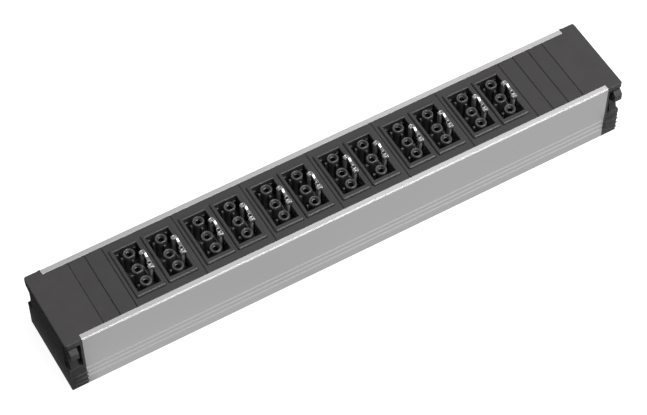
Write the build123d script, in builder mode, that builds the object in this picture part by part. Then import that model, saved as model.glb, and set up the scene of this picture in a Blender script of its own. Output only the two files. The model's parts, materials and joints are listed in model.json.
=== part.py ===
from build123d import *
import os

os.makedirs("parts", exist_ok=True)

# Rack power distribution unit: an aluminium channel that stands on its floor, closed by two
# moulded end caps, with a row of moulded inserts held between the lips of the channel.
# X runs along the channel, Y across it and Z up. The origin is the bottom centre.

# Aluminium profile
profile_width = 53.0
profile_height = 45.5
side_wall = 2.2
floor_wall = 2.2
lip_width = 3.6
lip_thickness = 2.4
lip_chamfer = 0.65
groove_depth = 0.48
groove_half = 0.87
groove_first = 7.5
groove_pitch = 4.15
groove_count = 3
rail_reach = 1.5
rail_thickness = 1.5
guide_spacing = 36.0
guide_thickness = 1.5
guide_height = 2.6

# Row of inserts between the lips
slide_clearance = 0.05
row_gap = 0.15
insert_plate = 2.6
insert_foot = 3.6
insert_grip = 3.0
seam_chamfer = 0.35
carrier_length = 44.0
carrier_count = 6
strip_length = 10.5
strips_left = 2
strips_right = 3
tongue_length = 15.15

# Sockets
socket_pitch = 20.1
socket_shift = -0.4
flange_length = 35.6
flange_width = 18.2
flange_height = 1.4
flange_radius = 0.8
flange_chamfer = 0.55
well_chamfer = 0.25
well_length = 30.3
well_width = 14.4
well_depth = 14.9
well_shift = 0.35
shroud_wall = 1.1
shroud_floor = 2.0
shroud_clearance = 0.05
barb_width = 6.0
barb_reach = 0.8
barb_height = 2.4
sleeve_radius = 3.45
sleeve_bore = 2.0
sleeve_drop = 0.3
sleeve_flat = 3.05
chamber_width = 6.4
chamber_length = 27.0
chamber_depth = 4.5
line_place = (0.1, 10.4)
neutral_place = (-0.45, -1.0)
earth_place = (0.05, -10.3)
pip_size = 1.5
pip_places = [(-4.2, 10.8), (-4.2, -9.8)]
wide_pip_size = (1.9, 1.3)
wide_pip_place = (-4.5, -2.3)
small_pip_size = 1.3
small_pip_place = (0.45, 6.6)
pip_drop = 2.4
low_pip_place = (0.1, -5.7)
wall_rib_size = (1.8, 0.7)
wall_rib_places = (-5.3, 5.8)
low_pip_drop = 4.0

# Contacts and busbars
contact_clearance = 0.05
contact_wall = 0.5
contact_sides = 8
contact_drop = 6.3
contact_slit = 0.5
contact_slit_depth = 4.0
contact_base = 1.5
blade_width = 2.6
blade_thickness = 0.8
blade_length = 4.0
busbar_width = 4.5
busbar_thickness = 1.5
support_thickness = 4.0
support_count = 3
support_pitch = 88.0
support_leg = 5.0

# Latches
leg_width = 2.8
leg_thickness = 1.8
leg_place = 5.8
back_leg = 6.0
front_leg = -4.6
pivot_height = 2.2
shaft_radius = 0.8
shaft_clearance = 0.05
leg_foot_radius = 1.2
bearing_thickness = 1.2
bearing_width = 2.9
bearing_rise = 1.6
bearing_clearance = 0.15
latch_rise = 3.1
head_depth = 1.4
head_back = 4.3
head_front = 8.2
head_chamfer = 0.4
hook_throat = 2.4
bar_width = 1.7
eyelet_bore = 0.5
eyelet_sides = 8
eyelet_place = (5.95, -2.0)
eyelet_width = 2.4
eyelet_thickness = 1.0
web_thickness = 0.8
web_height = 1.8
web_rise = 2.4
latch_travel = 0.9
notch_clearance = 0.15
notch_depth = 7.0

# Latch springs
leaf_thickness = 0.3
leaf_width = 5.0
leaf_depth = 1.2
leaf_knee = 3.0
leaf_bend = 0.75
leaf_height = 6.4
leaf_clearance = 0.05

# End caps
cap_length = 10.2
cap_flange = 1.5
cap_plate = 3.9
cap_plate_radius = 1.5
cap_edge = 0.4
cap_core_width = 41.0
cap_wall = 2.5
cap_block_height = 20.3
cap_cavity_height = 36.0
lug_start = 3.9
lug_end = 8.9
lug_reach = 2.6
lug_bottom = 33.3
lug_face = 5.1
lug_slope = 2.3
arm_inset = 0.4
arm_lean = 1.8
arm_height = 6.5
plug_length = 12.0
plug_wall = 1.8
plug_foot = 4.3
inlet_height = 12.5
inlet_bore = 4.6
grommet_waist = 6.0
grommet_flange = 8.0
grommet_lip = 1.2

# Terminal block and cord clamp
block_inset = 30.4
block_length = 20.0
block_height = 30.0
block_chamfer = 1.0
terminal_depth = 14.0
terminal_screw = 1.9
terminal_head = 3.2
terminal_head_height = 1.6
wire_entry = 2.3
screw_slot = 0.8
screw_clearance = 0.1
clamp_inset = 10.4
clamp_length = 8.0
clamp_bore = 4.4
clamp_thickness = 7.0
clamp_gap = 1.0
clamp_screw = 1.5
clamp_screw_spacing = 20.0
clamp_screw_length = 12.0
clamp_head = 2.8
clamp_head_height = 1.6

# Heights and places that follow from the sizes above
row_length = (strips_left + strips_right) * strip_length + carrier_count * carrier_length
row_start = -row_length / 2
profile_length = row_length + 2 * tongue_length
lip_under = profile_height - lip_thickness
insert_under = lip_under - slide_clearance - insert_grip
rail_top = insert_under
inner_half = profile_width / 2 - side_wall
slot_half = profile_width / 2 - lip_width
neck_half = slot_half - slide_clearance
foot_half = inner_half - slide_clearance
flange_top = profile_height + flange_height
well_bottom = flange_top - well_depth
shroud_bottom = well_bottom - shroud_floor
shroud_length = well_length + 2 * shroud_wall
shroud_width = well_width + 2 * shroud_wall
sleeve_top = flange_top - sleeve_drop
chamber_bottom = shroud_bottom - chamber_depth
contact_radius = sleeve_bore - contact_clearance
busbar_top = chamber_bottom - blade_length
busbar_bottom = busbar_top - busbar_thickness
bar_slot_width = busbar_width + 2 * slide_clearance
bar_slot_height = busbar_thickness + 2 * slide_clearance
pivot_z = well_bottom + pivot_height
latch_top = flange_top + latch_rise
cap_start = profile_length / 2
cap_end = cap_start + cap_length
block_place = cap_start - block_inset
clamp_place = cap_start - clamp_inset
fitting_width = guide_spacing - 2 * slide_clearance
row_end = row_start + strips_left * strip_length + carrier_count * carrier_length
row_stop = row_end + strips_right * strip_length
poles = {"line": line_place, "neutral": neutral_place, "earth": earth_place}
groove_heights = [groove_first + n * groove_pitch for n in range(groove_count)]
strip_starts = [row_start + n * strip_length for n in range(strips_left)]
strip_starts += [row_end + n * strip_length for n in range(strips_right)]
carrier_starts = [row_start + strips_left * strip_length + n * carrier_length for n in range(carrier_count)]
socket_centres = [start + carrier_length / 2 + socket_shift + side * socket_pitch / 2
                  for start in carrier_starts for side in (-1, 1)]

# How a rectangle lies on its place in a section: standing on it, or hanging from it
standing = (Align.CENTER, Align.MIN)
hanging = (Align.CENTER, Align.MAX)


def save(part, name):
    part.label = name
    export_step(part, f"parts/{name}.step")


def cut_grooves():
    """Cut the V grooves into both sides of the section being drawn."""
    edge = profile_width / 2
    for z in groove_heights:
        for side in (-1, 1):
            Polygon(
                (side * edge, z + groove_half),
                (side * (edge - groove_depth), z),
                (side * edge, z - groove_half),
                align=None,
                mode=Mode.SUBTRACT,
            )


def insert_section():
    """Section of a piece that slides under the lips: a plate with a foot along each side."""
    half = [
        (neck_half, profile_height),
        (neck_half, lip_under - slide_clearance),
        (foot_half, lip_under - slide_clearance),
        (foot_half, insert_under),
        (foot_half - insert_foot, insert_under),
        (foot_half - insert_foot, profile_height - insert_plate),
    ]
    Polygon(*half, *[(-y, z) for y, z in reversed(half)], align=None)


# Profile: an extruded channel with lips, rails under the inserts and guides on its floor
with BuildPart() as profile:
    with BuildSketch(Plane.YZ.offset(-profile_length / 2)) as profile_section:
        with Locations((0, profile_height / 2)):
            Rectangle(profile_width, profile_height)
        chamfer(profile_section.vertices().group_by(Axis.Y)[-1], lip_chamfer)
        cut_grooves()
        with Locations((0, floor_wall)):
            Rectangle(2 * inner_half, lip_under - floor_wall, align=standing, mode=Mode.SUBTRACT)
        with Locations((0, lip_under)):
            Rectangle(2 * slot_half, lip_thickness, align=standing, mode=Mode.SUBTRACT)
        for side in (-1, 1):
            with Locations((side * inner_half, rail_top)):
                Rectangle(2 * rail_reach, rail_thickness, align=hanging)
            with Locations((side * (guide_spacing + guide_thickness) / 2, floor_wall)):
                Rectangle(guide_thickness, guide_height, align=standing)
    extrude(amount=profile_length)
save(profile.part, "profile")


# Blanking strips: plain inserts that fill the row
for number, start in enumerate(strip_starts, 1):
    with BuildPart() as strip:
        with BuildSketch(Plane.YZ.offset(start + row_gap / 2)):
            insert_section()
        extrude(amount=strip_length - row_gap)
        seams = strip.edges().filter_by(Axis.Y).group_by(Axis.Z)[-1]
        chamfer(seams, seam_chamfer)
    save(strip.part, f"blanking_strip_{number}")


# Socket carriers: longer inserts, each with two openings that the sockets snap into
for number, start in enumerate(carrier_starts, 1):
    with BuildPart() as carrier:
        with BuildSketch(Plane.YZ.offset(start + row_gap / 2)):
            insert_section()
        extrude(amount=carrier_length - row_gap)
        seams = carrier.edges().filter_by(Axis.Y).group_by(Axis.Z)[-1]
        chamfer(seams, seam_chamfer)
        with BuildSketch(Plane.XY.offset(profile_height)):
            with Locations((start + carrier_length / 2 + socket_shift, well_shift)):
                with GridLocations(socket_pitch, 0, 2, 1):
                    Rectangle(shroud_width + 2 * shroud_clearance, shroud_length + 2 * shroud_clearance)
        extrude(amount=-insert_plate, mode=Mode.SUBTRACT)
    save(carrier.part, f"socket_carrier_{number}")


# Socket body: a flange that rests on the carrier, a deep well with three sleeves and coding
# pips, a block for the contacts under its floor, two bearings for the latch, and barbs that hold
# the shroud in the carrier
with BuildPart() as socket:
    with BuildSketch(Plane.XY.offset(profile_height)):
        RectangleRounded(flange_width, flange_length, flange_radius)
    extrude(amount=flange_height)
    chamfer(socket.faces().sort_by(Axis.Z)[-1].edges(), flange_chamfer)
    with BuildSketch(Plane.XY.offset(shroud_bottom)):
        with Locations((0, well_shift)):
            Rectangle(shroud_width, shroud_length)
    extrude(amount=profile_height - shroud_bottom)
    with BuildSketch(Plane.XY.offset(well_bottom)):
        with Locations((0, well_shift)):
            Rectangle(well_width, well_length)
    extrude(amount=well_depth, mode=Mode.SUBTRACT)
    chamfer(socket.faces().sort_by(Axis.Z)[-1].inner_wires()[0].edges(), well_chamfer)

    # sleeves, two of them with a flat on the front
    with BuildSketch(Plane.XY.offset(well_bottom)):
        for pole, place in poles.items():
            with Locations(place):
                Circle(sleeve_radius)
            if pole != "earth":
                with Locations((place[0], place[1] - sleeve_flat)):
                    Rectangle(2 * sleeve_radius, sleeve_radius, align=hanging, mode=Mode.SUBTRACT)
    extrude(amount=sleeve_top - well_bottom)
    with BuildSketch(Plane.XY.offset(shroud_bottom)):
        Rectangle(chamber_width, chamber_length)
    extrude(amount=-chamber_depth)

    # coding pips: one at the left of each sleeve, and a lower one on each side of the middle sleeve
    with BuildSketch(Plane.XY.offset(well_bottom)):
        with Locations(*pip_places):
            Rectangle(pip_size, pip_size)
        with Locations(wide_pip_place):
            Rectangle(*wide_pip_size)
        with Locations(small_pip_place):
            Rectangle(small_pip_size, small_pip_size)
    extrude(amount=flange_top - pip_drop - well_bottom)
    with BuildSketch(Plane.XY.offset(well_bottom)):
        with Locations(low_pip_place):
            Rectangle(small_pip_size, small_pip_size)
        with Locations(*[(x, well_shift + well_length / 2) for x in wall_rib_places]):
            Rectangle(*wall_rib_size, align=hanging)
    extrude(amount=flange_top - low_pip_drop - well_bottom)

    # bearings for the latch shaft, and notches in the wall that its legs swing into
    bearing_top = pivot_z + bearing_rise
    back_bearing = back_leg + leg_width / 2 + bearing_clearance
    front_bearing = front_leg - leg_width / 2 - bearing_clearance
    with BuildSketch(Plane.XY.offset(well_bottom)):
        with Locations((well_width / 2, back_bearing)):
            Rectangle(bearing_width, bearing_thickness, align=(Align.MAX, Align.MIN))
        with Locations((well_width / 2, front_bearing)):
            Rectangle(bearing_width, bearing_thickness, align=(Align.MAX, Align.MAX))
    extrude(amount=bearing_top - well_bottom)
    with BuildSketch(Plane.XY.offset(flange_top)):
        reach = leg_place + leg_thickness / 2 + latch_travel + notch_clearance
        with Locations((well_width / 2, back_leg), (well_width / 2, front_leg)):
            notch_width = leg_width + 4 * notch_clearance
            Rectangle(reach - well_width / 2, notch_width, align=(Align.MIN, Align.CENTER))
    extrude(amount=-notch_depth, mode=Mode.SUBTRACT)
    with BuildSketch(Plane.XZ.offset(-back_bearing - bearing_thickness)):
        with Locations((leg_place, pivot_z)):
            Circle(shaft_radius + shaft_clearance)
    extrude(amount=back_bearing - front_bearing + 2 * bearing_thickness, mode=Mode.SUBTRACT)

    # bores for the contacts
    with BuildSketch(Plane.XY.offset(chamber_bottom)):
        with Locations(*poles.values()):
            Circle(sleeve_bore)
    extrude(amount=sleeve_top - chamber_bottom, mode=Mode.SUBTRACT)

    # slot in the floor for the foot of the latch spring
    leaf_y = (back_leg + front_leg) / 2
    leaf_x = well_width / 2 - leaf_clearance - leaf_thickness / 2
    with BuildSketch(Plane.XY.offset(well_bottom)):
        with Locations((leaf_x, leaf_y)):
            Rectangle(leaf_thickness + 2 * leaf_clearance, leaf_width + 2 * leaf_clearance)
    extrude(amount=-leaf_depth, mode=Mode.SUBTRACT)

    # snap barbs under the carrier plate
    barb_top = profile_height - insert_plate - slide_clearance
    with BuildSketch(Plane.YZ.offset(-barb_width / 2)):
        for side in (-1, 1):
            wall = well_shift + side * shroud_length / 2
            barb = [(wall, barb_top), (wall + side * barb_reach, barb_top), (wall, barb_top - barb_height)]
            Polygon(*barb, align=None)
    extrude(amount=barb_width)

for number, x in enumerate(socket_centres, 1):
    with BuildPart() as placed_socket:
        with Locations((x, 0, 0)):
            add(socket.part)
    save(placed_socket.part, f"socket_{number}")


# Latch: a yoke of two legs on one shaft, with hooks over the plug and a thumb bar
with BuildPart() as latch:
    with BuildSketch(Plane.XZ.offset(-back_leg - leg_width / 2)) as cheek:
        left = leg_place - leg_thickness / 2
        right = leg_place + leg_thickness / 2
        with BuildLine():
            Polyline(
                (left, pivot_z),
                (left, latch_top - hook_throat),
                (head_back, latch_top - hook_throat + (left - head_back)),
                (head_back, latch_top - head_chamfer),
                (head_back + head_chamfer, latch_top),
                (head_front - head_chamfer, latch_top),
                (head_front, latch_top - head_chamfer),
                (head_front, latch_top - head_depth),
                (right, flange_top + notch_clearance),
                (right, pivot_z),
                close=True,
            )
        make_face()
        with Locations((leg_place, pivot_z)):
            Circle(leg_foot_radius)
    extrude(amount=leg_width)
    with Locations((0, front_leg - back_leg, 0)):
        add(latch.part.solids()[0])
    with BuildSketch(Plane.XY.offset(latch_top - head_depth)):
        with Locations((head_front, (back_leg + front_leg) / 2)):
            Rectangle(bar_width, back_leg - front_leg, align=(Align.MAX, Align.CENTER))
    extrude(amount=head_depth)
    with BuildSketch(Plane.XY.offset(pivot_z + web_rise)):
        with Locations((left, (back_leg + front_leg) / 2)):
            Rectangle(web_thickness, back_leg - front_leg, align=(Align.MIN, Align.CENTER))
    extrude(amount=web_height)
    with BuildSketch(Plane.XY.offset(latch_top - head_depth)):
        with Locations((head_front - bar_width, eyelet_place[1])):
            Rectangle(head_front - bar_width - head_back, eyelet_width, align=(Align.MAX, Align.CENTER))
        with Locations(eyelet_place):
            RegularPolygon(eyelet_bore, eyelet_sides, mode=Mode.SUBTRACT)
    extrude(amount=eyelet_thickness)
    with BuildSketch(Plane.XZ.offset(-back_bearing - bearing_thickness)):
        with Locations((leg_place, pivot_z)):
            Circle(shaft_radius)
    extrude(amount=back_bearing - front_bearing + 2 * bearing_thickness)

for number, x in enumerate(socket_centres, 1):
    with BuildPart() as placed_latch:
        with Locations((x, 0, 0)):
            add(latch.part)
    save(placed_latch.part, f"latch_{number}")


# Latch springs: one bent leaf in each well, between the latch and the wall
with BuildPart() as latch_springs:
    with BuildSketch(Plane.XZ.offset(-leaf_y - leaf_width / 2)):
        leaf_outer = leaf_x + leaf_thickness / 2
        leaf_foot = well_bottom - leaf_depth + leaf_clearance
        with BuildLine():
            Polyline(
                (leaf_outer, leaf_foot),
                (leaf_outer, well_bottom + leaf_knee),
                (leaf_outer - leaf_bend, well_bottom + leaf_height - leaf_thickness),
                (leaf_outer - leaf_bend, well_bottom + leaf_height),
                (leaf_outer - leaf_bend - leaf_thickness, well_bottom + leaf_height),
                (leaf_outer - leaf_bend - leaf_thickness, well_bottom + leaf_height - 2 * leaf_thickness),
                (leaf_outer - leaf_thickness, well_bottom + leaf_knee - leaf_thickness),
                (leaf_outer - leaf_thickness, leaf_foot),
                close=True,
            )
        make_face()
    extrude(amount=leaf_width)
    leaf = latch_springs.part.solids()[0]
    with Locations(*[(x - socket_centres[0], 0, 0) for x in socket_centres[1:]]):
        add(leaf)
with BuildPart() as placed_springs:
    with Locations((socket_centres[0], 0, 0)):
        add(latch_springs.part)
save(placed_springs.part, "latch_springs")


# Contacts: a slit tube, folded from strip with eight flats, in every sleeve, with a blade that
# stands on the busbar of its pole
for pole, place in poles.items():
    with BuildPart() as contacts:
        centres = [(x + place[0], place[1]) for x in socket_centres]
        contact_top = sleeve_top - contact_drop
        with BuildSketch(Plane.XY.offset(chamber_bottom)):
            with Locations(*centres):
                RegularPolygon(contact_radius, contact_sides)
        extrude(amount=contact_top - chamber_bottom)
        with BuildSketch(Plane.XY.offset(contact_top)):
            with Locations(*centres):
                RegularPolygon(contact_radius - contact_wall, contact_sides)
        extrude(amount=chamber_bottom + contact_base - contact_top, mode=Mode.SUBTRACT)
        with BuildSketch(Plane.XY.offset(contact_top)):
            with Locations(*centres):
                Rectangle(contact_slit, 2 * contact_radius)
        extrude(amount=-contact_slit_depth, mode=Mode.SUBTRACT)
        with BuildSketch(Plane.XY.offset(busbar_top)):
            with Locations(*centres):
                Rectangle(blade_thickness, blade_width)
        extrude(amount=blade_length)
    save(contacts.part, f"{pole}_contacts")


# Busbars: one flat strip for each pole, from the far socket into the terminal block
for pole, place in poles.items():
    with BuildPart() as busbar:
        with BuildSketch(Plane.XY.offset(busbar_bottom)):
            bar_start = socket_centres[0] - busbar_width
            bar_end = block_place - block_length / 2 + terminal_depth
            with Locations((bar_start, place[1])):
                Rectangle(bar_end - bar_start, busbar_width, align=(Align.MIN, Align.CENTER))
        extrude(amount=busbar_thickness)
    save(busbar.part, f"{pole}_busbar")


# Busbar supports: combs that stand between the floor guides and hold the busbars apart
with BuildPart() as supports:
    first = -support_pitch * (support_count - 1) / 2
    with BuildSketch(Plane.YZ.offset(first - support_thickness / 2)):
        with Locations((0, floor_wall)):
            Rectangle(fitting_width, busbar_top - floor_wall, align=standing)
        for place in poles.values():
            with Locations((place[1], busbar_bottom)):
                Rectangle(bar_slot_width, busbar_thickness, align=standing, mode=Mode.SUBTRACT)
        with Locations((0, floor_wall)):
            arch_height = (busbar_bottom - floor_wall) / 2
            Rectangle(fitting_width - 2 * support_leg, arch_height, align=standing, mode=Mode.SUBTRACT)
    extrude(amount=support_thickness)
    comb = supports.part.solids()[0]
    with Locations(*[(n * support_pitch, 0, 0) for n in range(1, support_count)]):
        add(comb)
save(supports.part, "busbar_supports")


# Terminal block: the busbars end in it, and the supply wires enter from its other side
block_start = block_place - block_length / 2
block_stop = block_place + block_length / 2
block_top = floor_wall + block_height
wire_z = busbar_top + wire_entry
with BuildPart() as terminal_block:
    with BuildSketch(Plane.XY.offset(floor_wall)):
        with Locations((block_place, 0)):
            Rectangle(block_length, fitting_width)
    extrude(amount=block_height)
    chamfer(terminal_block.edges().filter_by(Axis.X).group_by(Axis.Z)[-1], block_chamfer)
    with BuildSketch(Plane.YZ.offset(block_start)):
        for place in poles.values():
            with Locations((place[1], busbar_bottom - slide_clearance)):
                Rectangle(bar_slot_width, bar_slot_height, align=standing)
    extrude(amount=terminal_depth, mode=Mode.SUBTRACT)
    with BuildSketch(Plane.YZ.offset(block_stop)):
        for place in poles.values():
            with Locations((place[1], wire_z)):
                Circle(wire_entry)
    extrude(amount=-terminal_depth, mode=Mode.SUBTRACT)
    with BuildSketch(Plane.XY.offset(block_top)):
        for place in poles.values():
            with Locations((block_place, place[1])):
                Circle(terminal_screw + screw_clearance)
    extrude(amount=wire_z - block_top, mode=Mode.SUBTRACT)
save(terminal_block.part, "terminal_block")

with BuildPart() as terminal_screws:
    for place in poles.values():
        with BuildSketch(Plane.XY.offset(wire_z)):
            with Locations((block_place, place[1])):
                Circle(terminal_screw)
        extrude(amount=block_top - wire_z)
        with BuildSketch(Plane.XY.offset(block_top)):
            with Locations((block_place, place[1])):
                Circle(terminal_head)
        extrude(amount=terminal_head_height)
        with BuildSketch(Plane.XY.offset(block_top + terminal_head_height)):
            with Locations((block_place, place[1])):
                Rectangle(2 * terminal_head, screw_slot)
        extrude(amount=-terminal_head_height / 2, mode=Mode.SUBTRACT)
save(terminal_screws.part, "terminal_screws")


# Cord clamp: a base that slides between the floor guides, a bar and two screws
clamp_start = clamp_place - clamp_length / 2
clamp_top = inlet_height + clamp_gap / 2 + clamp_thickness
with BuildPart() as cord_clamp_base:
    with BuildSketch(Plane.YZ.offset(clamp_start)):
        with Locations((0, floor_wall)):
            Rectangle(fitting_width, inlet_height - clamp_gap / 2 - floor_wall, align=standing)
        with Locations((0, inlet_height)):
            Circle(clamp_bore, mode=Mode.SUBTRACT)
    extrude(amount=clamp_length)
    with BuildSketch(Plane.XY.offset(clamp_top - clamp_screw_length)):
        with Locations((clamp_place, 0)):
            with GridLocations(0, clamp_screw_spacing, 1, 2):
                Circle(clamp_screw + screw_clearance)
    extrude(amount=clamp_screw_length, mode=Mode.SUBTRACT)
save(cord_clamp_base.part, "cord_clamp_base")

with BuildPart() as cord_clamp_bar:
    with BuildSketch(Plane.YZ.offset(clamp_start)) as bar_section:
        with Locations((0, inlet_height + clamp_gap / 2)):
            Rectangle(clamp_screw_spacing + 2 * clamp_head, clamp_thickness, align=standing)
        chamfer(bar_section.vertices().group_by(Axis.Y)[-1], block_chamfer)
        with Locations((0, inlet_height)):
            Circle(clamp_bore, mode=Mode.SUBTRACT)
    extrude(amount=clamp_length)
    with BuildSketch(Plane.XY.offset(clamp_top)):
        with Locations((clamp_place, 0)):
            with GridLocations(0, clamp_screw_spacing, 1, 2):
                Circle(clamp_screw + screw_clearance)
    extrude(amount=-clamp_thickness, mode=Mode.SUBTRACT)
save(cord_clamp_bar.part, "cord_clamp_bar")

with BuildPart() as cord_clamp_screws:
    for side in (-1, 1):
        place = (clamp_place, side * clamp_screw_spacing / 2)
        with BuildSketch(Plane.XY.offset(clamp_top - clamp_screw_length)):
            with Locations(place):
                Circle(clamp_screw)
        extrude(amount=clamp_screw_length)
        with BuildSketch(Plane.XY.offset(clamp_top)):
            with Locations(place):
                Circle(clamp_head)
        extrude(amount=clamp_head_height)
        with BuildSketch(Plane.XY.offset(clamp_top + clamp_head_height)):
            with Locations(place):
                Rectangle(2 * clamp_head, screw_slot)
        extrude(amount=-clamp_head_height / 2, mode=Mode.SUBTRACT)
save(cord_clamp_screws.part, "cord_clamp_screws")


# End cap: a hollow moulding with a flange against the profile, a recess in each side with a
# lug on an arm, a tongue between the lips and two legs that plug into the profile
recess_top = profile_height - cap_plate
with BuildPart() as cap:
    with BuildSketch(Plane.XY.offset(recess_top)) as plate_outline:
        with Locations((cap_start, 0)):
            Rectangle(cap_length, profile_width, align=(Align.MIN, Align.CENTER))
        fillet(plate_outline.vertices().group_by(Axis.X)[-1], cap_plate_radius)
    extrude(amount=cap_plate)
    chamfer(cap.faces().sort_by(Axis.Z)[-1].edges().sort_by(Axis.X)[1:], cap_edge)
    with BuildSketch(Plane.YZ.offset(cap_start)):
        Rectangle(cap_core_width, recess_top, align=standing)
        Rectangle(profile_width, cap_block_height, align=standing)
        cut_grooves()
    extrude(amount=cap_length)
    with BuildSketch(Plane.YZ.offset(cap_start)):
        Rectangle(profile_width, profile_height, align=standing)
        cut_grooves()
    extrude(amount=cap_flange)

    # arm with its lug in each side
    with BuildSketch(Plane.YZ.offset(cap_start + lug_start)):
        face = profile_width / 2
        half = [
            (cap_core_width / 2, cap_block_height),
            (face - arm_inset, cap_block_height),
            (face - arm_inset - arm_lean, cap_block_height + arm_height),
            (face - arm_inset - arm_lean, lug_bottom - lug_reach),
            (face + lug_reach, lug_bottom),
            (face + lug_reach, lug_bottom + lug_face),
            (face + lug_reach - lug_slope, lug_bottom + lug_face + lug_slope),
            (cap_core_width / 2, lug_bottom + lug_face + lug_slope),
        ]
        Polygon(*half, align=None)
        Polygon(*[(-y, z) for y, z in half], align=None)
    extrude(amount=lug_end - lug_start)

    # cavity, and the legs and tongue that enter the profile
    with BuildSketch(Plane.YZ.offset(cap_start)):
        with Locations((0, cap_wall)):
            Rectangle(cap_core_width - 2 * cap_wall, cap_cavity_height, align=standing)
    extrude(amount=cap_length - cap_wall, mode=Mode.SUBTRACT)
    with BuildSketch(Plane.YZ.offset(cap_start)):
        plug_half = inner_half - slide_clearance
        plug_top = rail_top - rail_thickness - slide_clearance
        plug_bottom = floor_wall + slide_clearance
        for side in (-1, 1):
            with Locations((side * plug_half, plug_bottom)):
                corner = Align.MAX if side > 0 else Align.MIN
                Rectangle(plug_wall, plug_top - plug_bottom, align=(corner, Align.MIN))
                Rectangle(plug_foot, plug_wall, align=(corner, Align.MIN))
    extrude(amount=-plug_length)
    with BuildSketch(Plane.YZ.offset(cap_start)):
        insert_section()
    extrude(amount=row_stop + row_gap / 2 - cap_start)

# Right end cap: the moulding with a stepped hole for the grommet of the supply cord
with BuildPart() as end_cap_right:
    add(cap.part)
    with BuildSketch(Plane.YZ.offset(cap_end)):
        with Locations((0, inlet_height)):
            Circle(grommet_waist + slide_clearance)
    extrude(amount=-cap_wall, mode=Mode.SUBTRACT)
    with BuildSketch(Plane.YZ.offset(cap_end)):
        with Locations((0, inlet_height)):
            Circle(grommet_flange + slide_clearance)
    extrude(amount=-grommet_lip, mode=Mode.SUBTRACT)
save(end_cap_right.part, "end_cap_right")

with BuildPart() as end_cap_left:
    add(cap.part)
    mirror(about=Plane.YZ, mode=Mode.REPLACE)
save(end_cap_left.part, "end_cap_left")


# Inlet grommet: a rubber ring with a flange on each side of the end wall
with BuildPart() as inlet_grommet:
    with BuildSketch(Plane.XZ) as ring_section:
        with BuildLine():
            Polyline(
                (cap_end, inlet_height + inlet_bore),
                (cap_end, inlet_height + grommet_flange),
                (cap_end - grommet_lip, inlet_height + grommet_flange),
                (cap_end - grommet_lip, inlet_height + grommet_waist),
                (cap_end - cap_wall, inlet_height + grommet_waist),
                (cap_end - cap_wall, inlet_height + grommet_flange),
                (cap_end - cap_wall - grommet_lip, inlet_height + grommet_flange),
                (cap_end - cap_wall - grommet_lip, inlet_height + inlet_bore),
                close=True,
            )
        make_face()
    revolve(axis=Axis((0, 0, inlet_height), (1, 0, 0)))
save(inlet_grommet.part, "inlet_grommet")
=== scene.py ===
# %% [markdown]
# # A rack power distribution unit
# The solids of this part come from its CAD source and are already packed. They are the fixed
# frame of the scene. This lesson gives them their looks: finishes made of shader nodes, and a few
# pieces whose rounded metal is easier to make as a surface here than as a solid there.

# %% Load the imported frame
import json
import math

import bpy
import numpy as np
from mathutils import Matrix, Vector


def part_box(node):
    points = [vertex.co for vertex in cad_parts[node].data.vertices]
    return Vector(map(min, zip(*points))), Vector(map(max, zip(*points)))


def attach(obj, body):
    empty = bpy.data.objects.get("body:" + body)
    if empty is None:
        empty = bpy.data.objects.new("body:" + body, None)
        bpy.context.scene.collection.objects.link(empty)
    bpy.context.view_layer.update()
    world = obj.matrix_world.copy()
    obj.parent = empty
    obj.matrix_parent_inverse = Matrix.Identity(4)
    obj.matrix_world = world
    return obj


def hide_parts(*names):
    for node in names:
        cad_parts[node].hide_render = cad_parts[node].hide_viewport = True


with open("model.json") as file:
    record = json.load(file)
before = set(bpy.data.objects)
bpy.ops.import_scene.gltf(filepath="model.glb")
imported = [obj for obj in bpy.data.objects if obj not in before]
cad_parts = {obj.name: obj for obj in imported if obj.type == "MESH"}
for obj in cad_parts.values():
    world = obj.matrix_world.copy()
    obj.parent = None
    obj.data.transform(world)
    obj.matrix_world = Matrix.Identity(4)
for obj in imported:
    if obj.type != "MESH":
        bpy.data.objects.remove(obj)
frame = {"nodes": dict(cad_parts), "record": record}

scene = bpy.context.scene
nodes = frame["nodes"]
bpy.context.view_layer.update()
print("CAD nodes:", len(nodes))

# %% [markdown]
# ## The camera
# The photograph was taken from high up on the front left with a long lens. The camera's place and
# turn were worked out from the straight edges of the channel, so it is written here as a place and
# three directions. A long lens keeps the far end of the unit almost as large as the near one.

# %% Place the camera
CAMERA_PLACE = (-0.381816, -0.649127, 1.082865)
CAMERA_RIGHT = (0.86539962, -0.50108230, 0.00015326)
CAMERA_UP = (0.40940956, 0.70725150, 0.57634984)
CAMERA_BACK = (-0.28890710, -0.49871018, 0.81720306)
CAMERA_LENS = 124.267

camera = bpy.data.objects.new("camera", bpy.data.cameras.new("camera"))
scene.collection.objects.link(camera)
turn = Matrix((CAMERA_RIGHT, CAMERA_UP, CAMERA_BACK)).transposed().to_4x4()
camera.matrix_world = Matrix.Translation(CAMERA_PLACE) @ turn
camera.data.lens = CAMERA_LENS
camera.data.sensor_width = 36.0
camera.data.clip_start = 0.05
camera.data.clip_end = 60.0
scene.camera = camera
print("lens in mm:", CAMERA_LENS)

# %% [markdown]
# ## Floor and light
# The unit stands on a plain pale sweep. Its material adds a glow that only the camera sees, so the
# floor looks white and still dims where the unit keeps light away. What metal and plastic mirror of
# the floor is set apart from that. It is darker past the left end, because the photograph shows
# that end dark. One large soft lamp hangs above, and a narrow one stands in front, as in a small
# studio for products.

# %% Helpers for shader nodes
def new_material(name):
    """An empty material with its node tree and its output node."""
    material = bpy.data.materials.new(name)
    material.use_nodes = True
    tree = material.node_tree
    tree.nodes.clear()
    return material, tree, tree.nodes.new("ShaderNodeOutputMaterial")


def add_node(tree, kind, **settings):
    """A node of that kind, with its plain properties set."""
    node = tree.nodes.new(kind)
    for key, value in settings.items():
        setattr(node, key, value)
    return node


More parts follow.
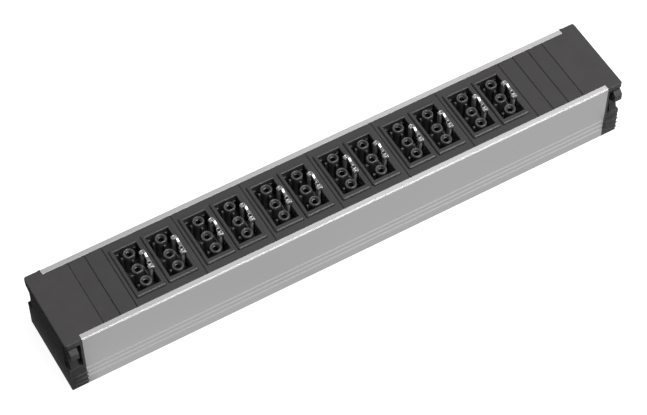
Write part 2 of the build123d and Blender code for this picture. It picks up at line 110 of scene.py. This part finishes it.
def math_node(tree, operation, first, second=None, third=None):
    """A Math node whose inputs are sockets or numbers."""
    node = add_node(tree, "ShaderNodeMath", operation=operation)
    for place, value in enumerate((first, second, third)):
        if isinstance(value, (int, float)):
            node.inputs[place].default_value = value
        elif value is not None:
            tree.links.new(value, node.inputs[place])
    return node.outputs[0]


def level_by_ray(tree, camera, mirrored, diffuse):
    """A level for the camera, another for what is mirrored, and another for all other light."""
    path = add_node(tree, "ShaderNodeLightPath")
    shiny = math_node(tree, "MAXIMUM", path.outputs["Is Glossy Ray"], path.outputs["Is Transmission Ray"])
    level = math_node(tree, "MULTIPLY_ADD", shiny, math_node(tree, "SUBTRACT", mirrored, diffuse), diffuse)
    return math_node(tree, "MULTIPLY_ADD", path.outputs["Is Camera Ray"], camera - diffuse, level)


def faded(tree, vector, axis, reach, levels):
    """A level that goes from one value to another while a coordinate crosses a reach."""
    axes = add_node(tree, "ShaderNodeSeparateXYZ")
    tree.links.new(vector, axes.inputs[0])
    fade = add_node(tree, "ShaderNodeMapRange")
    tree.links.new(axes.outputs[axis], fade.inputs["Value"])
    fade.inputs["From Min"].default_value, fade.inputs["From Max"].default_value = reach
    fade.inputs["To Min"].default_value, fade.inputs["To Max"].default_value = levels
    return fade.outputs[0]


# %% [markdown]
# The floor is one large plane, so its far edge never shows. A Light Path node tells what looks at
# it: the camera, or a ray that something shiny sends down.

# %% Make the floor
FLOOR_HALF = 6.0
FLOOR_COLOUR = 0.4
FLOOR_GLOW = 0.92
FLOOR_MIRRORED = (0.02, 0.515)
FLOOR_CHANGE = (-0.188, -0.166)
material, tree, output = new_material("white_sweep")
bsdf = add_node(tree, "ShaderNodeBsdfPrincipled")
bsdf.inputs["Base Color"].default_value = (FLOOR_COLOUR, FLOOR_COLOUR, FLOOR_COLOUR, 1.0)
bsdf.inputs["Roughness"].default_value = 0.9
bsdf.inputs["Specular IOR Level"].default_value = 0.0
glow = add_node(tree, "ShaderNodeEmission")
glow.inputs["Color"].default_value = (1.0, 1.0, 1.0, 1.0)
place = add_node(tree, "ShaderNodeTexCoord")
across = faded(tree, place.outputs["Object"], 0, FLOOR_CHANGE, FLOOR_MIRRORED)
tree.links.new(level_by_ray(tree, FLOOR_GLOW, across, 0.0), glow.inputs["Strength"])
both = add_node(tree, "ShaderNodeAddShader")
tree.links.new(bsdf.outputs[0], both.inputs[0])
tree.links.new(glow.outputs[0], both.inputs[1])
path = add_node(tree, "ShaderNodeLightPath")
seen = add_node(tree, "ShaderNodeMixShader")
tree.links.new(path.outputs["Is Glossy Ray"], seen.inputs[0])
tree.links.new(both.outputs[0], seen.inputs[1])
tree.links.new(glow.outputs[0], seen.inputs[2])
tree.links.new(seen.outputs[0], output.inputs["Surface"])

floor_mesh = bpy.data.meshes.new("floor")
corners = [(-FLOOR_HALF, -FLOOR_HALF, 0), (FLOOR_HALF, -FLOOR_HALF, 0),
           (FLOOR_HALF, FLOOR_HALF, 0), (-FLOOR_HALF, FLOOR_HALF, 0)]
floor_mesh.from_pydata(corners, [], [(0, 1, 2, 3)])
floor_mesh.materials.append(material)
floor = bpy.data.objects.new("floor", floor_mesh)
scene.collection.objects.link(floor)
print("floor:", floor.name)

# %% [markdown]
# The world gives a weak even light. What is mirrored of it is bright near the horizon and dark
# overhead, so only the large lamp shows in surfaces that face up.

# %% Make the world and the lamps
WORLD_LEVEL = 0.12
WORLD_MIRRORED = (0.87, 0.02)
WORLD_CHANGE = (0.0, 0.85)
world = bpy.data.worlds.new("studio")
scene.world = world
world.use_nodes = True
tree = world.node_tree
tree.nodes.clear()
output = add_node(tree, "ShaderNodeOutputWorld")
background = add_node(tree, "ShaderNodeBackground")
sky = add_node(tree, "ShaderNodeTexCoord")
upward = faded(tree, sky.outputs["Generated"], 2, WORLD_CHANGE, WORLD_MIRRORED)
level = level_by_ray(tree, 1.0, upward, WORLD_LEVEL)
background.inputs["Color"].default_value = (1.0, 1.0, 1.0, 1.0)
tree.links.new(level, background.inputs["Strength"])
tree.links.new(background.outputs[0], output.inputs["Surface"])
scene.view_settings.view_transform = "Standard"


def soft_lamp(name, place, aim, size, power):
    """A rectangular area lamp at place, turned towards aim, with size in metres and power in watts."""
    data = bpy.data.lights.new(name, "AREA")
    data.shape = "RECTANGLE"
    data.size, data.size_y = size
    data.energy = power
    lamp = bpy.data.objects.new(name, data)
    scene.collection.objects.link(lamp)
    back = (np.array(place) - np.array(aim)) / np.linalg.norm(np.array(place) - np.array(aim))
    side = np.cross((0.0, 0.0, 1.0), back) if abs(back[2]) < 0.99 else np.array((1.0, 0.0, 0.0))
    side = side / np.linalg.norm(side)
    turn = Matrix((tuple(side), tuple(np.cross(back, side)), tuple(back))).transposed().to_4x4()
    lamp.matrix_world = Matrix.Translation(place) @ turn
    return lamp


soft_lamp("lamp_top", (0.87, -0.43, 2.84), (0, 0, 0), (2.2, 1.8), 88.0)
soft_lamp("lamp_front", (0.58, -1.64, 1.0), (0, 0, 0), (1.6, 0.12), 4.0)

# %% [markdown]
# ## Plastic and metal effects
# Several finishes share an effect, so each effect is a group that is built once. The first is the
# fine pebbled grain that a spark-eroded mould leaves on plastic. The second is the drawn lines
# that a die leaves along an extruded profile.
#
# Height bends the normal, Shade multiplies the colour, and Roughness is added to the finish's own.

# %% Helpers for shader groups
def new_group(name, inputs, outputs):
    """A shader group with number inputs given as name: default, and outputs given as name: kind."""
    group = bpy.data.node_groups.new(name, "ShaderNodeTree")
    for label, value in inputs.items():
        socket = group.interface.new_socket(name=label, in_out="INPUT", socket_type="NodeSocketFloat")
        socket.default_value = value
    for label, kind in outputs.items():
        group.interface.new_socket(name=label, in_out="OUTPUT", socket_type=kind)
    return group, group.nodes.new("NodeGroupInput"), group.nodes.new("NodeGroupOutput")


def use_group(tree, group, **values):
    """The group placed in a material, with its number inputs set."""
    node = add_node(tree, "ShaderNodeGroup", node_tree=group)
    for label, value in values.items():
        node.inputs[label].default_value = value
    return node


# %% [markdown]
# The grain is two noises. The fine one is the pebbles. The broad one is the slow change of shade and
# gloss that every moulding has.

# %% The grain of moulded plastic
grain, inlet, outlet = new_group(
    "moulded_grain", {"Scale": 2600.0, "Blotch": 90.0},
    {"Height": "NodeSocketFloat", "Shade": "NodeSocketFloat", "Roughness": "NodeSocketFloat"})
place = add_node(grain, "ShaderNodeTexCoord")
fine = add_node(grain, "ShaderNodeTexNoise")
fine.inputs["Detail"].default_value = 3.0
fine.inputs["Roughness"].default_value = 0.6
broad = add_node(grain, "ShaderNodeTexNoise")
broad.inputs["Detail"].default_value = 2.0
for noise, label in ((fine, "Scale"), (broad, "Blotch")):
    grain.links.new(place.outputs["Object"], noise.inputs["Vector"])
    grain.links.new(inlet.outputs[label], noise.inputs["Scale"])
spread = add_node(grain, "ShaderNodeMapRange")
grain.links.new(broad.outputs[0], spread.inputs["Value"])
spread.inputs["From Min"].default_value = 0.3
spread.inputs["From Max"].default_value = 0.7
spread.inputs["To Min"].default_value = 0.97
spread.inputs["To Max"].default_value = 1.03
speck = math_node(grain, "MULTIPLY_ADD", fine.outputs[0], 0.3, 0.85)
grain.links.new(fine.outputs[0], outlet.inputs["Height"])
grain.links.new(math_node(grain, "MULTIPLY", speck, spread.outputs[0]), outlet.inputs["Shade"])
uneven = math_node(grain, "MULTIPLY_ADD", broad.outputs[0], 0.06, -0.03)
grain.links.new(uneven, outlet.inputs["Roughness"])

# %% [markdown]
# The drawn lines are noise that is stretched along X, by making that coordinate change slowly.

# %% The drawn lines of an extruded profile
drawn, inlet, outlet = new_group(
    "drawn_lines", {"Lines": 900.0, "Stretch": 0.006},
    {"Height": "NodeSocketFloat", "Shade": "NodeSocketFloat"})
place = add_node(drawn, "ShaderNodeTexCoord")
axes = add_node(drawn, "ShaderNodeSeparateXYZ")
long_way = add_node(drawn, "ShaderNodeCombineXYZ")
drawn.links.new(place.outputs["Object"], axes.inputs[0])
along = math_node(drawn, "MULTIPLY", axes.outputs[0], inlet.outputs["Stretch"])
drawn.links.new(along, long_way.inputs[0])
drawn.links.new(axes.outputs[1], long_way.inputs[1])
drawn.links.new(axes.outputs[2], long_way.inputs[2])
lines = add_node(drawn, "ShaderNodeTexNoise")
lines.inputs["Detail"].default_value = 4.0
lines.inputs["Roughness"].default_value = 0.7
drawn.links.new(long_way.outputs[0], lines.inputs["Vector"])
drawn.links.new(inlet.outputs["Lines"], lines.inputs["Scale"])
drawn.links.new(lines.outputs[0], outlet.inputs["Height"])
drawn.links.new(math_node(drawn, "MULTIPLY_ADD", lines.outputs[0], 0.10, 0.95), outlet.inputs["Shade"])
print("effects:", [group.name for group in bpy.data.node_groups])

# %% [markdown]
# ## Finishes
# Each finish takes one colour and lets the effects vary it a little. The height of the grain goes
# through a Bump node, so a low light catches it as it does on the real mouldings. A Bevel node
# under it turns the normal over each edge, which so gets the light line of a small radius.

# %% Moulded plastic finishes
def tinted(tree, colour, shade):
    """The colour multiplied by a value that changes over the surface."""
    node = add_node(tree, "ShaderNodeMix", data_type="RGBA", blend_type="MULTIPLY")
    node.inputs["Factor"].default_value = 1.0
    node.inputs["A"].default_value = (*colour, 1.0)
    tree.links.new(shade, node.inputs["B"])
    return node.outputs["Result"]


PLASTIC_EDGE, METAL_EDGE = 0.00035, 0.0001
BUMP_HEIGHT = 0.0001


def rounded_normal(tree, edge):
    """A normal that turns smoothly over an edge of that radius."""
    node = add_node(tree, "ShaderNodeBevel", samples=6)
    node.inputs["Radius"].default_value = edge
    return node.outputs[0]


def painted_edge_shade(tree, shade, normal, least):
    """The shade, lowered to a least share where the rounded normal turns away from the flat one. This is
    painted shade on the edges, standing in for the shade of the seams beside them.
    """
    flat = add_node(tree, "ShaderNodeNewGeometry")
    product = add_node(tree, "ShaderNodeVectorMath", operation="DOT_PRODUCT")
    tree.links.new(flat.outputs["Normal"], product.inputs[0])
    tree.links.new(normal, product.inputs[1])
    share = add_node(tree, "ShaderNodeMapRange")
    tree.links.new(product.outputs["Value"], share.inputs["Value"])
    share.inputs["From Min"].default_value, share.inputs["From Max"].default_value = 0.85, 1.0
    share.inputs["To Min"].default_value, share.inputs["To Max"].default_value = least, 1.0
    return math_node(tree, "MULTIPLY", shade, share.outputs[0])


def bumped(tree, height, strength, normal):
    """A normal that is bent by a height that changes over the surface."""
    node = add_node(tree, "ShaderNodeBump")
    tree.links.new(normal, node.inputs["Normal"])
    node.inputs["Strength"].default_value = strength
    node.inputs["Distance"].default_value = BUMP_HEIGHT
    tree.links.new(height, node.inputs["Height"])
    return node.outputs["Normal"]


def plastic_finish(name, colour, roughness, scale=2600.0, bump=0.25, level=0.35, least=1.0):
    """Moulded plastic, whose colour varies with a raised grain. Level is how strongly it mirrors. A least
    share under 1 darkens its edges with painted shade, where they drop into a seam."""
    material, tree, output = new_material(name)
    effect = use_group(tree, grain, Scale=scale)
    bsdf = add_node(tree, "ShaderNodeBsdfPrincipled")
    bsdf.inputs["Specular IOR Level"].default_value = level
    normal = rounded_normal(tree, PLASTIC_EDGE)
    # Painted shade: the colour is darkened over the rounded edges, as the seams beside them are in shade.
    shade = painted_edge_shade(tree, effect.outputs["Shade"], normal, least)
    tree.links.new(tinted(tree, colour, shade), bsdf.inputs["Base Color"])
    rough = math_node(tree, "ADD", effect.outputs["Roughness"], roughness)
    tree.links.new(rough, bsdf.inputs["Roughness"])
    tree.links.new(bumped(tree, effect.outputs["Height"], bump, normal), bsdf.inputs["Normal"])
    tree.links.new(bsdf.outputs[0], output.inputs["Surface"])
    return material


cap_plastic = plastic_finish("cap_plastic", (0.077, 0.0737, 0.0752), 0.22, bump=0.05, level=0.2)
# The inserts get painted shade on their edges, along the seams between them.
insert_plastic = plastic_finish(
    "insert_plastic", (0.071, 0.0680, 0.0694), 0.2, bump=0.05, level=0.5, least=0.25)
socket_plastic = plastic_finish("socket_plastic", (0.067, 0.0641, 0.0654), 0.2, bump=0.04, level=0.5)
# A lighter copy of the socket plastic, for the rims and the domes: painted light on their round tops.
painted_light_plastic = plastic_finish("painted_light_plastic", (0.105, 0.102, 0.103), 0.22, bump=0.04, level=0.5)
inner_plastic = plastic_finish("inner_plastic", (0.42, 0.39, 0.32), 0.5)
rubber = plastic_finish("rubber", (0.03, 0.03, 0.031), 0.8, scale=1500.0, bump=0.4)

# %% [markdown]
# ## Metals
# The channel is anodised, so it is satin, and fine lines run along it. The same lines, much shorter
# and finer, make the tumbled surface of small castings, springs and screws. The brass in the bores
# is plated, and looks grey.

# %% Metal finishes
def metal_finish(name, colour, roughness, lines=900.0, stretch=0.006, bump=0.05):
    """Metal, whose drawn lines shade it and bend its normal a little. Stretch under 1 draws the
    lines out along X."""
    material, tree, output = new_material(name)
    effect = use_group(tree, drawn, Lines=lines, Stretch=stretch)
    bsdf = add_node(tree, "ShaderNodeBsdfPrincipled")
    bsdf.inputs["Metallic"].default_value = 1.0
    tree.links.new(tinted(tree, colour, effect.outputs["Shade"]), bsdf.inputs["Base Color"])
    rough = math_node(tree, "MULTIPLY_ADD", effect.outputs["Height"], 0.1, roughness - 0.05)
    tree.links.new(rough, bsdf.inputs["Roughness"])
    normal = rounded_normal(tree, METAL_EDGE)
    tree.links.new(bumped(tree, effect.outputs["Height"], bump, normal), bsdf.inputs["Normal"])
    tree.links.new(bsdf.outputs[0], output.inputs["Surface"])
    return material


anodised = metal_finish("anodised_aluminium", (0.78, 0.77, 0.774), 0.42)
cast_metal = metal_finish("cast_metal", (0.45, 0.45, 0.45), 0.18, lines=1600.0, stretch=1.0, bump=0.02)
spring_steel = metal_finish("spring_steel", (0.45, 0.45, 0.45), 0.35, lines=1600.0, stretch=0.3)
screw_steel = metal_finish("screw_steel", (0.6, 0.6, 0.58), 0.35, lines=1600.0, stretch=1.0)
plated = metal_finish("plated_brass", (0.27, 0.262, 0.25), 0.3, lines=1600.0, stretch=0.3, bump=0.015)
print("finishes:", [material.name for material in bpy.data.materials])

# %% [markdown]
# The heads of the latches get a painted sheen: the cast metal is made more metallic there, so it shines,
# and is dull on the legs, which stand in the shade of the well. The height in the object's own coordinates
# tells one from the other.

# %% Paint a sheen on the heads of the latches
HEAD_CHANGE, HEAD_METALLIC = (0.0462, 0.0485), (0.1, 0.6)
tree = cast_metal.node_tree
place = add_node(tree, "ShaderNodeTexCoord")
# Painted sheen: the metallic level rises with the height, from the dull legs to the shining heads.
painted_sheen = faded(tree, place.outputs["Object"], 2, HEAD_CHANGE, HEAD_METALLIC)
tree.links.new(painted_sheen, tree.nodes["Principled BSDF"].inputs["Metallic"])
print("painted_sheen_on:", cast_metal.name)

# %% [markdown]
# The record of the part says which slot each piece has, and each slot has one finish.

# %% Give every CAD node its finish
finishes = {
    "aluminium_profile": anodised, "socket_plastic": socket_plastic, "insert_plastic": insert_plastic,
    "cap_plastic": cap_plastic, "latch_steel": cast_metal, "spring_steel": spring_steel,
    "brass_contacts": plated, "inner_plastic": inner_plastic, "screw_steel": screw_steel, "rubber": rubber}
slot_of = {part["node"]: part["material_slot"] for part in frame["record"]["subparts"]}
for name, node in nodes.items():
    node.data.materials.clear()
    node.data.materials.append(finishes[slot_of[name]])
print("finished:", len(nodes))

# %% [markdown]
# ## Surfaces from numpy
# The latches are small castings with rounded edges, which catch bright lines of light. Each one is
# built from two kinds of surface. A rounded slab is a flat outline carried along an axis, drawn in
# by a quarter circle at both ends. A turned form is a profile carried round an axis.

# %% Helpers for surfaces
def soft_outline(corners, radius, steps=5):
    """A closed outline whose corners are round. At each corner the curve leaves one side a radius
    before the corner, and joins the next side a radius after it, along a quadratic curve that has
    the corner as its middle point: (1-t)^2 start + 2t(1-t) corner + t^2 end."""
    corner = np.array(corners, float)
    before = np.roll(corner, 1, axis=0) - corner
    after = np.roll(corner, -1, axis=0) - corner
    reach_before = np.minimum(radius, 0.45 * np.linalg.norm(before, axis=1))[:, None]
    reach_after = np.minimum(radius, 0.45 * np.linalg.norm(after, axis=1))[:, None]
    start = corner + before / np.linalg.norm(before, axis=1)[:, None] * reach_before
    end = corner + after / np.linalg.norm(after, axis=1)[:, None] * reach_after
    t = np.linspace(0.0, 1.0, steps)[None, :, None]
    curve = (1 - t) ** 2 * start[:, None] + 2 * t * (1 - t) * corner[:, None] + t ** 2 * end[:, None]
    return curve.reshape(-1, 2)


def inward(outline):
    """Unit normals of a closed outline, pointing to its inside. They are the tangents turned by a
    quarter turn, to the left if the outline runs anticlockwise and to the right if it doesn't."""
    tangent = np.roll(outline, -1, axis=0) - np.roll(outline, 1, axis=0)
    tangent /= np.linalg.norm(tangent, axis=1)[:, None]
    following = np.roll(outline, -1, axis=0)
    area = np.sum(outline[:, 0] * following[:, 1] - following[:, 0] * outline[:, 1])
    return np.sign(area) * np.stack([-tangent[:, 1], tangent[:, 0]], axis=1)


def rounded_slab(outline, low, high, edge, steps=4, between=0):
    """Rings of an outline carried from low to high. In the first and last stretch of length edge
    the outline is drawn in by edge(1 - sin a) while it advances by edge(1 - cos a), a quarter circle.
    Rings between them are added where the form is bent later."""
    a = np.linspace(0.0, np.pi / 2, steps)
    plain = np.linspace(low + edge, high - edge, between + 2)[1:-1]
    height = np.concatenate([low + edge * (1 - np.cos(a)), plain, high - edge * (1 - np.cos(a[::-1]))])
    inset = np.concatenate([edge * (1 - np.sin(a)), 0 * plain, edge * (1 - np.sin(a[::-1]))])
    flat = outline[None] + inset[:, None, None] * inward(outline)[None]
    return np.concatenate([flat, np.broadcast_to(height[:, None, None], (*flat.shape[:2], 1))], axis=2)


def turned_form(profile, count=24, wide=(1.0, 1.0)):
    """Rings of a profile of radius and height carried round an axis: each point goes to radius
    times cosine and sine of the turn, at its own height. A value of wide other than 1 makes the
    circles oval."""
    turn = np.linspace(0.0, 2 * np.pi, count, endpoint=False)
    radius, height = np.array(profile, float).T
    circle = np.stack([wide[0] * np.cos(turn), wide[1] * np.sin(turn)], axis=1)
    flat = radius[:, None, None] * circle[None]
    return np.concatenate([flat, np.broadcast_to(height[:, None, None], (*flat.shape[:2], 1))], axis=2)


def oval(radius, half_width, height, half_height, count=14):
    """The closed outline of a ring's wall: radius + w cos u and height + h sin u."""
    u = np.linspace(0.0, 2 * np.pi, count, endpoint=False)
    return np.stack([radius + half_width * np.cos(u), height + half_height * np.sin(u)], axis=1)


def ring_faces(rings, count, offset, closed):
    """Quads between neighbouring rings. A closed form joins its last ring to its first, as a tyre
    does, and any other form gets one flat face over each end."""
    first = np.arange(count)
    second = np.roll(first, -1)
    quads = []
    for ring in range(rings if closed else rings - 1):
        a, b = ring * count + offset, (ring + 1) % rings * count + offset
        quads += np.stack([first + a, second + a, second + b, first + b], axis=1).tolist()
    if closed:
        return quads
    last = first + (rings - 1) * count
    return quads + [(first[::-1] + offset).tolist(), (last + offset).tolist()]


def surface_object(name, forms, body, finish):
    """One piece made of several forms. A form is (rings, order, closed): order puts its three
    coordinates on X, Y and Z. A form that came out inside in has its faces turned round."""
    points, faces = [], []
    for rings, order, closed in forms:
        placed = rings[..., list(order)].reshape(-1, 3)
        made = ring_faces(rings.shape[0], rings.shape[1], len(points), closed)
        corner = placed[np.array([face[:3] for face in made]) - len(points)]
        volume = np.sum(np.einsum("ij,ij->i", corner[:, 0] - placed.mean(0), np.cross(
            corner[:, 1] - placed.mean(0), corner[:, 2] - placed.mean(0))))
        faces += made if volume > 0 else [face[::-1] for face in made]
        points += placed.tolist()
    mesh = bpy.data.meshes.new(name)
    mesh.from_pydata(points, [], faces)
    mesh.polygons.foreach_set("use_smooth", [True] * len(mesh.polygons))
    mesh.materials.append(finish)
    piece = bpy.data.objects.new(name, mesh)
    scene.collection.objects.link(piece)
    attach(piece, body)
    return piece


# %% [markdown]
# ## The latches
# A latch is a small bright casting. Two legs stand on one shaft, deep in the well. Each leg ends in
# an eye, which hooks over the plug. A thumb bar runs from the back eye, down a short slope, to a
# round eyelet, which is joined to the front eye. The slope is a smooth step, 3t^2 - 2t^3, and is
# what catches the light from above.

# %% Measure the latches
MM = 0.001
XZY, XYZ = (0, 2, 1), (0, 1, 2)
COUNT = 12
LATCH_RIGHT = 8.2
LEG_BACK, LEG_FRONT, LEG_HALF, LEG_EDGE = 6.0, -4.6, 1.4, 0.4
LEG_CORNERS = [(4.9, 33.2), (6.7, 33.2), (6.7, 48.4), (4.9, 48.4)]
HEAD_CORNERS = [(4.9, 47.3), (6.8, 47.3), (8.1, 48.6), (8.1, 49.3), (4.7, 49.3)]
BAR_CORNERS = [(6.3, 48.75), (8.2, 48.75), (8.2, 49.95), (6.3, 49.95)]
BAR_FRONT, BAR_BACK, BAR_EDGE, BAR_RINGS = -1.4, LEG_BACK - 0.8, 0.3, 14
SLOPE_TOP, SLOPE_LENGTH, SLOPE_DROP = 4.6, 3.0, 0.8
WEB_CORNERS = [(4.9, 36.6), (5.7, 36.6), (5.7, 38.4), (4.9, 38.4)]
EYE_PLACE, EYE_WIDE = 6.25, (1.38, 1.0)
EYELET_PLACE = (6.68, -2.1, 0.0)
SHAFT_PLACE, SHAFT_FRONT, SHAFT_BACK = (5.8, 0.0, 34.2), -7.3, 8.7
SHAFT_CORE, SHAFT_ROUND, SHAFT_EDGE = 0.02, 0.78, 0.4
print("latch legs at:", LEG_BACK, LEG_FRONT)

# %% [markdown]
# The shaft is a profile turned round an axis. Its ends are quarter ovals, so they look like the
# burnished ends of a pin.

# %% Make the latches
leg_side = soft_outline(LEG_CORNERS, 0.5)
head_side = soft_outline(HEAD_CORNERS, 0.4)
bar_side = soft_outline(BAR_CORNERS, 0.5)
bar = rounded_slab(bar_side, BAR_FRONT, BAR_BACK, BAR_EDGE, between=BAR_RINGS)
fall = np.clip((SLOPE_TOP - bar[..., 2]) / SLOPE_LENGTH, 0.0, 1.0)
bar[..., 1] -= SLOPE_DROP * fall * fall * (3 - 2 * fall)
web_side = soft_outline(WEB_CORNERS, 0.2, steps=3)
eye_wall = oval(1.0, 0.4, 49.1, 0.85)
eyelet_wall = oval(1.2, 0.3, 48.9, 0.6)
bend = np.linspace(0.0, np.pi / 2, 5)
shaft_profile = np.concatenate([np.stack([
    SHAFT_CORE + SHAFT_ROUND * np.sin(a), end + SHAFT_EDGE * way * (1 - np.cos(a))], axis=1)
    for a, end, way in ((bend, SHAFT_FRONT, 1), (bend[::-1], SHAFT_BACK, -1))])

for number in range(1, COUNT + 1):
    low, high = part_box(f"latch_{number}")
    place = np.array([high.x / MM - LATCH_RIGHT, 0.0, 0.0])
    forms = [(rounded_slab(side, middle - LEG_HALF, middle + LEG_HALF, LEG_EDGE), XZY, False)
             for middle in (LEG_BACK, LEG_FRONT) for side in (leg_side, head_side)]
    forms += [(turned_form(eye_wall, wide=EYE_WIDE) + (EYE_PLACE, middle, 0.0), XYZ, True)
              for middle in (LEG_BACK, LEG_FRONT)]
    forms += [(bar, XZY, False),
              (rounded_slab(web_side, LEG_FRONT, LEG_BACK, 0.1), XZY, False),
              (turned_form(eyelet_wall) + EYELET_PLACE, XYZ, True),
              (turned_form(shaft_profile)[..., [0, 2, 1]] + SHAFT_PLACE, XYZ, False)]
    forms = [((rings[..., list(order)] + place) * MM, XYZ, closed) for rings, order, closed in forms]
    latch = surface_object(f"latch_yoke_{number}", forms, f"latch_body_{number}", cast_metal)
    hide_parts(f"latch_{number}")
print("latch faces:", len(latch.data.polygons))

# %% [markdown]
# ## The sleeve mouths and the pips
# Each socket has three sleeves, whose mouths are moulded with a thick round rim. A plated bush
# lines the top of each bore, and shows as a light arc inside it. Both are rings with an oval wall.
# Two sleeves of the three have a flat at the front, so there the ring is held back to a straight line. The
# coding pips between the sleeves have domed tops. The rims and the domes are a lighter copy of the socket
# plastic, which paints on them the light that their round tops catch.

# %% A helper for rings with a flat
def mouth_ring(wall, flat=None, around=40):
    """A closed outline of radius and height carried round an axis. At each turn its radius is held
    back to what the flat leaves, which is the distance of the flat over the sine of the turn."""
    turn = np.linspace(0.0, 2 * np.pi, around, endpoint=False)[None, :]
    reach = np.broadcast_to(wall[:, :1], (len(wall), around))
    if flat:
        middle = wall[:, 0].mean()
        held = np.minimum(middle, (flat - (wall[:, 0].max() - middle)) / np.maximum(-np.sin(turn), 0.01))
        reach = reach + held - middle
    rise = np.broadcast_to(wall[:, 1:], reach.shape)
    return np.stack([reach * np.cos(turn), reach * np.sin(turn), rise], axis=2)


# %% [markdown]
# A sleeve is given by its place and the distance of its flat, and a pip by its place, the height of
# its shoulder and its radius. Both are in millimetres from the middle of their socket.

# %% Make the rims, the bushes and the domes
SLEEVES = [(0.1, 10.4, 3.05), (-0.45, -1.0, 3.05), (0.05, -10.3, None)]
PIPS = [(-4.2, 10.8, 44.45, 0.75), (-4.2, -9.8, 44.45, 0.75), (-4.5, -2.3, 44.45, 0.75),
        (0.45, 6.6, 44.45, 0.65), (0.1, -5.7, 42.85, 0.65)]
DOME_RISE = 0.6
rim_wall = oval(2.9, 0.5, 46.5, 0.8)
bush_wall = oval(1.78, 0.21, 45.5, 0.35)
dome = np.stack([0.02 + 0.98 * np.cos(bend), DOME_RISE * np.sin(bend)], axis=1)
rims, bushes, domes = [], [], []
for number in range(1, COUNT + 1):
    low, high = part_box(f"socket_{number}")
    middle = (low.x + high.x) / 2 / MM
    for x, y, flat in SLEEVES:
        rims.append(((mouth_ring(rim_wall, flat) + (middle + x, y, 0.0)) * MM, XYZ, True))
        bushes.append(((mouth_ring(bush_wall) + (middle + x, y, 0.0)) * MM, XYZ, True))
    for x, y, height, half in PIPS:
        form = turned_form(dome * (half, 1.0) + (0.0, height))
        domes.append(((form + (middle + x, y, 0.0)) * MM, XYZ, False))
# The rims and the domes take the lighter plastic, as painted light.
rims = surface_object("sleeve_rims", rims, "chassis", painted_light_plastic)
bushes = surface_object("sleeve_bushes", bushes, "chassis", plated)
domes = surface_object("pip_domes", domes, "chassis", painted_light_plastic)
print("faces:", [len(piece.data.polygons) for piece in (rims, bushes, domes)])

# %% [markdown]
# ## The painted shadow line round each socket
# A thin dark strip lies where the frame of a socket meets its carrier. It is painted shadow, a dark piece
# put in the place of the shade there.
# It is a small section carried round the frame. Each point of the section is given by its distance
# outside the frame and its height over the carrier, in millimetres.

# %% Make the painted shadow lines
SHADOW_LINE_SECTION = np.array([(-0.2, -0.1), (0.35, -0.1), (0.42, 0.0), (0.35, 0.1), (-0.2, 0.14)])
SHADOW_LINE_CORNER = 0.6
carrier_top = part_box("socket_carrier_1")[1].z / MM
painted_shadow_lines = []
for number in range(1, COUNT + 1):
    low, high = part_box(f"socket_{number}")
    x0, x1, y0, y1 = low.x / MM, high.x / MM, low.y / MM, high.y / MM
    outline = soft_outline([(x0, y0), (x1, y0), (x1, y1), (x0, y1)], SHADOW_LINE_CORNER)
    flat = outline[None] - SHADOW_LINE_SECTION[:, :1, None] * inward(outline)[None]
    rise = np.broadcast_to(carrier_top + SHADOW_LINE_SECTION[:, 1:, None], (*flat.shape[:2], 1))
    painted_shadow_lines.append((np.concatenate([flat, rise], axis=2) * MM, XYZ, True))
# Painted shadow: each dark strip stands in for the shade at the foot of a frame.
painted_shadow_lines = surface_object("socket_painted_shadow_lines", painted_shadow_lines, "chassis", rubber)
print("painted_shadow_line faces:", len(painted_shadow_lines.data.polygons), "on", round(carrier_top, 2))

# %% [markdown]
# ## Ledges beside the grooves of the caps
# The grooves of the profile run on over both end caps, and show there as light lines under the lug.
# A small sloped ledge at each groove takes up that line. It is one section, carried along the cap.
#
# FACE is a known fault. It is the distance of the lugs, and the sides of the caps lie at 26.5 mm, so
# the ledges stand 1.9 mm clear of them. The value meant to lay them on the caps is 26.48.

# %% Make the ledges
CAP_START, CAP_END, FACE = 173.6, 182.0, 29.08
GROOVES, GROOVE_HALF, GROOVE_DEPTH = (7.5, 11.65, 15.8), 0.87, 0.46
section = np.array([(FACE, -GROOVE_HALF), (FACE, -0.42), (FACE - GROOVE_DEPTH, 0.04),
                    (FACE - GROOVE_DEPTH - 0.2, -GROOVE_HALF)])
ledge = rounded_slab(soft_outline(section, 0.06, steps=3), CAP_START, CAP_END, 0.05, steps=3)
ledges = []
for height in GROOVES:
    for end in (-1, 1):
        for side in (-1, 1):
            form = ledge[..., [2, 0, 1]] * (end, side, 1.0) + (0.0, 0.0, height)
            ledges.append((form * MM, XYZ, False))
ledges = surface_object("cap_ledges", ledges, "chassis", cap_plastic)
print("ledge faces:", len(ledges.data.polygons))
